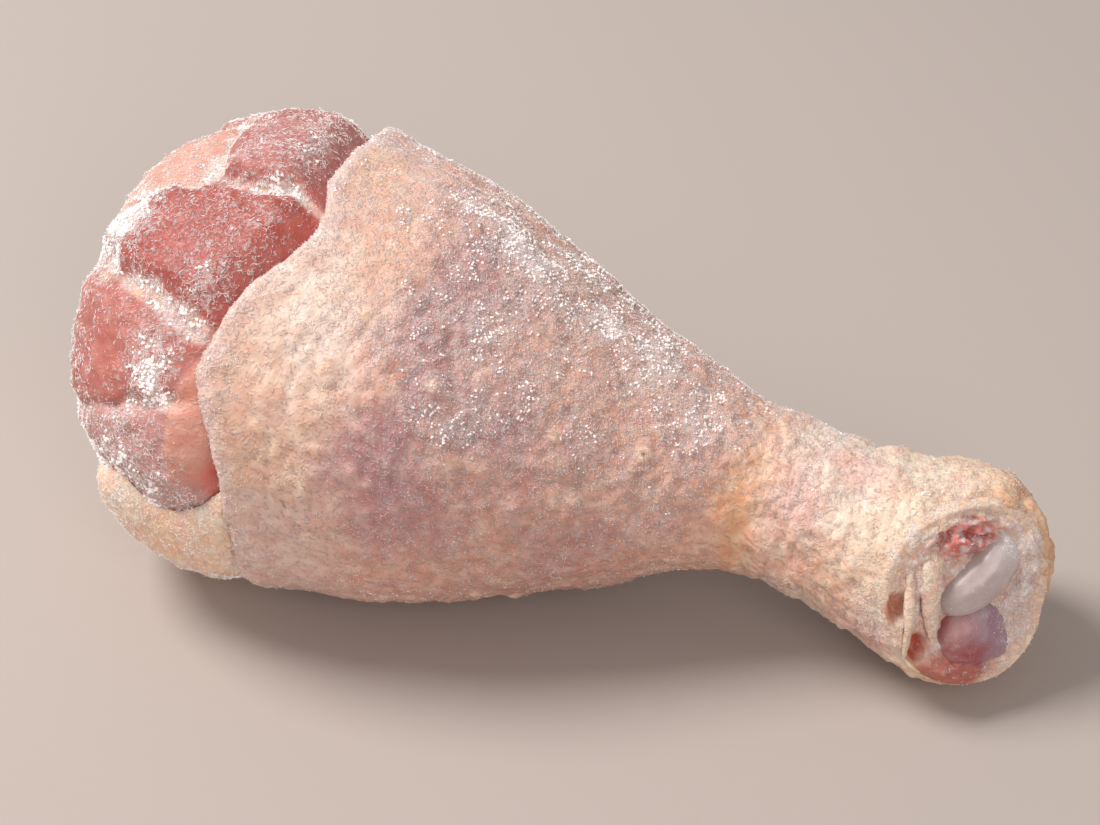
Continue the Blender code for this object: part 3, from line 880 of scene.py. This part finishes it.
def place_condyle(name):
    """Gives the placing of one condyle: a blunt bean set in the mouth."""
    right, up, out, turned, long, broad, deep = CONDYLES[name]

    def place(places):
        blunt = np.sum(np.abs(places) ** BLUNTNESS, axis=1) ** (-1 / BLUNTNESS)
        u, v, w = (places * blunt[:, None]).T
        bean = 1.3 * (u * u) * np.sign(up)
        a = math.radians(turned)
        first, second = long * u, broad * v + bean
        r = right + first * math.cos(a) - second * math.sin(a)
        s = up + first * math.sin(a) + second * math.cos(a)
        points = in_mouth(r, s, out + deep * w)
        swell = 0.22 * rough(points, 4.0, 2, 43) + 0.06 * rough(points, 1.0, 1, 44)
        points += MOUTH_FACING * swell[:, None]
        if up > 0:
            # The upper condyle is made lighter towards its upper end: a painted highlight on its shiny
            # cartilage, with frost lying thicker there too.
            tint = blend(np.tile(GREY_LILAC, (len(u), 1)), WHITE, 0.35 * smooth(0.1, 0.9, u))
            frost = 0.15 + 0.5 * smooth(0.3, 1.0, u)
        else:
            plum = smooth(0.5, -0.35, u + 0.35 * rough(points, 2.4, 2, 45))
            tint = blend(np.tile(LILAC, (len(u), 1)), PLUM, plum)
            frost = 0.12 + 0.3 * smooth(0.2, 1.0, u)
        return points, {"tint": tint, "frost": np.clip(frost, 0, 1)}

    return place


piece("shank_bone", ball_of(around=64, down=96), place_bone, CARTILAGE, "shank_bone", "shank_bone")
for condyle in CONDYLES:
    ball = ball_of(around=64, down=40)
    piece(condyle, ball, place_condyle(condyle), CARTILAGE, "shank_bone", "shank_bone")

MOUTH_MIDDLE = in_mouth(0.3, -2.2, 0.0)
CAPSULE_INTO_SKIN = 1.15
SPONGE = np.array((0.58, 0.14, 0.12))
OCHRE = np.array((0.56, 0.25, 0.16))


def oval(right, up, at, size, tilt=0.0):
    """A soft oval in the mouth: 1 at its place (right, up), fading over its size in mm."""
    c, s = math.cos(math.radians(tilt)), math.sin(math.radians(tilt))
    a, b = right - at[0], up - at[1]
    return np.exp(-(((a * c + b * s) / size[0]) ** 2) - ((b * c - a * s) / size[1]) ** 2)


def place_capsule(places):
    """A ball whose first 7 tenths are the face in the mouth, and the rest its hidden wall."""
    turn, down = ball_angles(places)
    face_share = 0.7
    stop = mouth_station(turn, 0.0)
    rim_point, _, rim_out = leg_frame(stop - 0.01, turn)
    rim_point = rim_point + CAPSULE_INTO_SKIN * rim_out
    inward = np.clip(down / face_share, 0, 1)[:, None]
    face = MOUTH_MIDDLE + (rim_point - MOUTH_MIDDLE) * inward
    wall_share = np.clip((down - face_share) / (1 - face_share), 0, 1)
    back_t = station_at(MEAT_END + 0.5)
    t = stop - 0.03 + (back_t - stop + 0.03) * np.minimum(wall_share * 1.3, 1.0)
    wall, _, wall_out = leg_frame(t, turn)
    wall = wall + wall_out * (CAPSULE_INTO_SKIN * smooth(0.45, 0.1, wall_share))[:, None]
    shut = smooth(0.78, 1.0, wall_share)
    wall = blend(wall, np.array((MEAT_END + 0.5, 0.0, 15.6)), shut)
    points = np.where(down[:, None] < face_share, face, wall)
    from_centre = points - MOUTH_CENTRE
    right, up = from_centre @ MOUTH_RIGHT, from_centre @ MOUTH_UP
    on_face = smooth(1.0, 0.9, inward[:, 0]) * (down < face_share)

    wobble = rough(points, 2.0, 3, 51)
    dish = -0.2 * smooth(1.0, 0.7, inward[:, 0]) + 1.0 * oval(right, up, (1.9, -2.4), (5.2, 7.6))
    red = oval(right, up, (-1.7, 6.5), (4.4, 2.7), 24.0)
    pit_1 = oval(right, up, (-9.3, -3.4), (1.7, 2.5), -14.0)
    pit_2 = oval(right, up, (-5.3, -8.5), (1.4, 2.3), -10.0)
    floor_red = oval(right, up, (-0.6, -11.6), (5.6, 3.0), 12.0)
    ledge = oval(right, up, (7.4, 1.0), (1.8, 7.5), -8.0)
    strand = oval(right, up, (-6.9, -2.5), (0.8, 6.5), -8.0)
    height = -dish + 0.5 * wobble + 0.35 * rough(points, 0.9, 2, 52)
    raised = 0.9 * ledge + 0.7 * strand + 1.2 * floor_red
    height += raised - 1.7 * smooth(0.25, 0.85, pit_1) - 2.1 * smooth(0.25, 0.85, pit_2)
    height += red * (1.2 - 3.0 * smooth(0.0, 0.4, rough(points, 1.5, 2, 53)))
    points = points + MOUTH_FACING * (height * on_face)[:, None]
    points[:, 2] = np.maximum(points[:, 2], 1.3)

    tint = blend(np.tile(np.array((0.76, 0.48, 0.38)), (len(turn), 1)), WHITE, smooth(0.0, 0.6, wobble) * 0.5)
    tint = blend(tint, YELLOW, 0.7 * smooth(0.8, 0.95, inward[:, 0]))
    tint = blend(tint, SPONGE, smooth(0.25, 0.65, red + 0.25 * wobble))
    tint = blend(tint, WHITE, 0.75 * red * smooth(0.0, 0.25, rough(points, 1.0, 2, 54)))
    tint = blend(tint, OCHRE, 0.9 * smooth(0.3, 0.7, pit_1))
    tint = blend(tint, np.array((0.46, 0.09, 0.05)), 0.95 * smooth(0.3, 0.7, pit_2))
    tint = blend(tint, np.array((0.38, 0.06, 0.045)), 0.85 * smooth(0.15, 0.6, floor_red + 0.15 * wobble))
    tint = blend(tint, np.array((0.62, 0.50, 0.46)), 0.6 * smooth(0.3, 0.8, ledge))
    frost = 0.45 + 0.45 * ledge + 0.3 * strand - 0.5 * (pit_1 + pit_2) - 0.35 * floor_red - 0.1 * red
    return points, {"tint": tint, "frost": np.clip(frost * (1 + 0.4 * wobble), 0, 1.2)}


ball = ball_of(around=150, down=110)
capsule = piece("joint_capsule", ball, place_capsule, MUSCLE, "joint_capsule", "joint_capsule")

# Tendon: its line as right, up and out, then half breadth and half thickness
TENDONS = {
    "tendon_1": (((-5.4, 5.0, 0.1), (-5.4, 1.8, 0.9), (-4.7, -2.6, 1.0), (-3.3, -7.4, 0.7)), 1.5, 0.75),
    "tendon_2": (((-8.3, 2.6, 0.3), (-7.8, -1.4, 1.0), (-7.2, -5.4, 1.1), (-6.6, -10.0, 0.3)), 0.75, 0.65),
}


def place_tendon(name):
    """Gives the placing of one tendon: a flat strand that tapers along its line."""
    line, broad, thick = TENDONS[name]
    last = len(line) - 1

    def place(places):
        turn, down = ball_angles(places)
        t = down * last
        centre = in_mouth(*through(line, t).T)
        ahead = in_mouth(*through(line, np.clip(t + 0.1, 0, last)).T)
        behind = in_mouth(*through(line, np.clip(t - 0.1, 0, last)).T)
        across = unit(np.cross(ahead - behind, MOUTH_FACING))
        taper = np.sqrt(np.sin(down * math.pi)) * (1.25 - 0.55 * down)
        angle = np.radians(turn)
        side = broad * taper * (1 + 0.2 * rough(centre, 1.6, 2, 61))
        points = centre + across * (side * np.cos(angle))[:, None]
        points += MOUTH_FACING * (thick * taper * np.sin(angle))[:, None]
        points += 0.14 * MOUTH_FACING * rough(points, 0.8, 2, 62)[:, None]
        wobble = rough(points, 1.6, 2, 63)
        tint = blend(np.tile(np.array((0.86, 0.62, 0.50)), (len(turn), 1)), YELLOW, smooth(0.0, 0.4, wobble))
        return points, {"tint": tint, "frost": np.clip(0.45 + 0.5 * wobble, 0, 1)}

    return place


for tendon in TENDONS:
    piece(tendon, ball_of(around=28, down=56), place_tendon(tendon), SKIN, "tendon", tendon)

# ---------------------------------------------------------------- hoarfrost

FULL = 32768  # bits of ice in the fullest coat
NEEDLE, CRUMB = (3, 2), (5, 3)  # how many sides round a bit of ice, and how many from pole to pole
CLEAR_OF_FLOOR = 0.9  # no ice is laid lower than this


def inner_line(centre):
    """The leg's own axis beside each place, in the tables' millimetres."""
    x = centre[:, 0] / MM + MIDDLE[0]
    y = np.interp(x, FINE_LEG[:, 0], FINE_LEG[:, 1])
    z = np.interp(x, FINE_LEG[:, 0], FINE_LEG[:, 2])
    return np.stack((x, y, z), axis=1)


def strew(name, host, count, ball, long, thin, most, least, seed, lift=0.5):
    """Bits of ice strewn over a piece where it is frosted: bent needles, or crumbs where the
    ball is rounder. Count is a power of 2, and no bit lies where the frost is under least."""
    bm = packed(ball_of(*ball))
    bit_verts = len(bm.verts)
    while len(bm.verts) < count * bit_verts:
        bmesh.ops.duplicate(bm, geom=bm.verts[:] + bm.edges[:] + bm.faces[:])

    mesh = host.data
    rng = np.random.default_rng(seed)
    faces = len(mesh.polygons)
    area = read_values(mesh.polygons, "area")
    normal = read_values(mesh.polygons, "normal", 3).astype(float)
    centre = read_values(mesh.polygons, "center", 3).astype(float)
    first_corner = read_values(mesh.polygons, "loop_start", kind=np.int32)
    corners = read_values(mesh.loops, "vertex_index", kind=np.int32)
    frost = read_values(mesh.attributes["frost"].data, "value")[corners[first_corner]]
    patchy = rough(centre / MM, 1.7, 3, seed)
    off_floor = centre[:, 2] > CLEAR_OF_FLOOR * MM
    weight = area * np.clip(frost * (1 + 0.9 * patchy) - least, 0.0, most) * off_floor
    inside = (normal * (centre / MM + MIDDLE - inner_line(centre))).sum(axis=1) < 0
    weight[inside] = 0.0
    pick = np.searchsorted(np.cumsum(weight / weight.sum()), rng.random(count)).clip(0, faces - 1)

    out = normal[pick]
    lean = unit(np.cross(out, rng.normal(size=(count, 3))))
    way = unit(lean + out * (rng.random((count, 1)) * lift))
    side = unit(np.cross(way, out))
    rise = np.cross(side, way)
    length = long * (0.45 + 1.1 * rng.random((count, 1)) ** 1.6)
    width = thin * (0.7 + 0.6 * rng.random((count, 1)))
    bow = rng.normal(size=(count, 1)) * 0.22 * length * (ball == NEEDLE)
    spread = np.sqrt(area[pick])[:, None] * (rng.random((count, 1)) - 0.5)
    root = centre[pick] + lean * spread + out * (0.04 * MM)
    root = root + way * (length * 0.35 * MM)

    def place(places):
        shape = places.reshape(count, bit_verts, 3)
        tip = shape[:, :, 2]
        belly = 1 - np.abs(tip)
        x = way[:, None] * (tip * 0.5 * length)[:, :, None]
        y = side[:, None] * (shape[:, :, 0] * width * 0.5 + belly * bow)[:, :, None]
        z = rise[:, None] * (shape[:, :, 1] * width * 0.5)[:, :, None]
        points = (root / MM)[:, None] + x + y + z
        return points.reshape(-1, 3) + MIDDLE, {}

    piece(name, bm, place, ICE_WITH_PAINTED_GLOW, host["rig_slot"])


strew("frost_fur_skin", skin, FULL, NEEDLE, 0.38, 0.075, most=0.5, least=0.16, seed=71)
strew("frost_crust_skin", skin, FULL // 2, NEEDLE, 0.46, 0.08, most=0.55, least=0.28, seed=72, lift=0.8)
strew("frost_fur_meat", meat, FULL, NEEDLE, 0.72, 0.10, most=1.2, least=0.1, seed=73)
strew("frost_fur_flap", flap, FULL // 8, NEEDLE, 0.6, 0.10, most=1.0, least=0.1, seed=74)
strew("frost_fur_capsule", capsule, FULL // 16, NEEDLE, 0.5, 0.1, most=1.0, least=0.2, seed=75)
strew("frost_crumbs_skin", skin, FULL // 16, CRUMB, 0.36, 0.3, most=1.2, least=0.55, seed=76, lift=0.9)
strew("frost_crumbs_meat", meat, FULL // 8, CRUMB, 0.5, 0.42, most=1.2, least=0.6, seed=77, lift=0.9)

# ---------------------------------------------------------------- stage, camera, light

LIT_PLACE = (0.0, 0.0, 0.02)
FLOOR_COLOUR = (0.45, 0.389, 0.356)


def make_floor():
    """A plain pale floor under the leg."""
    bm = bmesh.new()
    bmesh.ops.create_grid(bm, x_segments=1, y_segments=1, size=1.5)
    mesh = bpy.data.meshes.new("floor")
    bm.to_mesh(mesh)
    bm.free()
    finish = Finish("pale_floor", Roughness=0.8, Specular_IOR_Level=0.2)
    finish.shader.inputs["Base Color"].default_value = rgb(*FLOOR_COLOUR)
    mesh.materials.append(finish.material)
    floor = bpy.data.objects.new("floor", mesh)
    bpy.context.scene.collection.objects.link(floor)


def area_light(name, place, size, power, colour):
    """A soft round lamp turned towards the leg."""
    light = bpy.data.lights.new(name, "AREA")
    light.shape = "DISK"
    light.size, light.energy, light.color = size, power, colour
    lamp = bpy.data.objects.new(name, light)
    lamp.location = place
    lamp.rotation_euler = (Vector(LIT_PLACE) - Vector(place)).to_track_quat("-Z", "Y").to_euler()
    bpy.context.scene.collection.objects.link(lamp)


def make_camera():
    """Looks down on the leg from the front, a little towards the hock."""
    azimuth, elevation, distance = math.radians(20.0), math.radians(40.0), 0.338
    target = Vector((-0.0027, 0.00205, 0.0245))
    back = Vector(
        (
            math.sin(azimuth) * math.cos(elevation),
            -math.cos(azimuth) * math.cos(elevation),
            math.sin(elevation),
        )
    )
    data = bpy.data.cameras.new("camera")
    data.lens, data.sensor_width = 85.0, 36.0
    data.clip_start, data.clip_end = 0.01, 10.0
    camera = bpy.data.objects.new("camera", data)
    camera.location = target + back * distance
    camera.rotation_euler = (-back).to_track_quat("-Z", "Y").to_euler()
    bpy.context.scene.collection.objects.link(camera)
    bpy.context.scene.camera = camera


make_floor()
make_camera()
area_light("key", (-0.40, -0.05, 0.62), 0.32, 5.4, (1.0, 0.98, 0.96))
area_light("fill", (0.45, -0.60, 0.50), 0.6, 2.6, (1.0, 0.96, 0.93))
world = bpy.data.worlds.new("studio")
world.use_nodes = True
background = world.node_tree.nodes["Background"]
background.inputs["Color"].default_value = rgb(0.95, 0.94, 0.93)
background.inputs["Strength"].default_value = 0.40
bpy.context.scene.world = world
bpy.context.scene.view_settings.view_transform = "Standard"
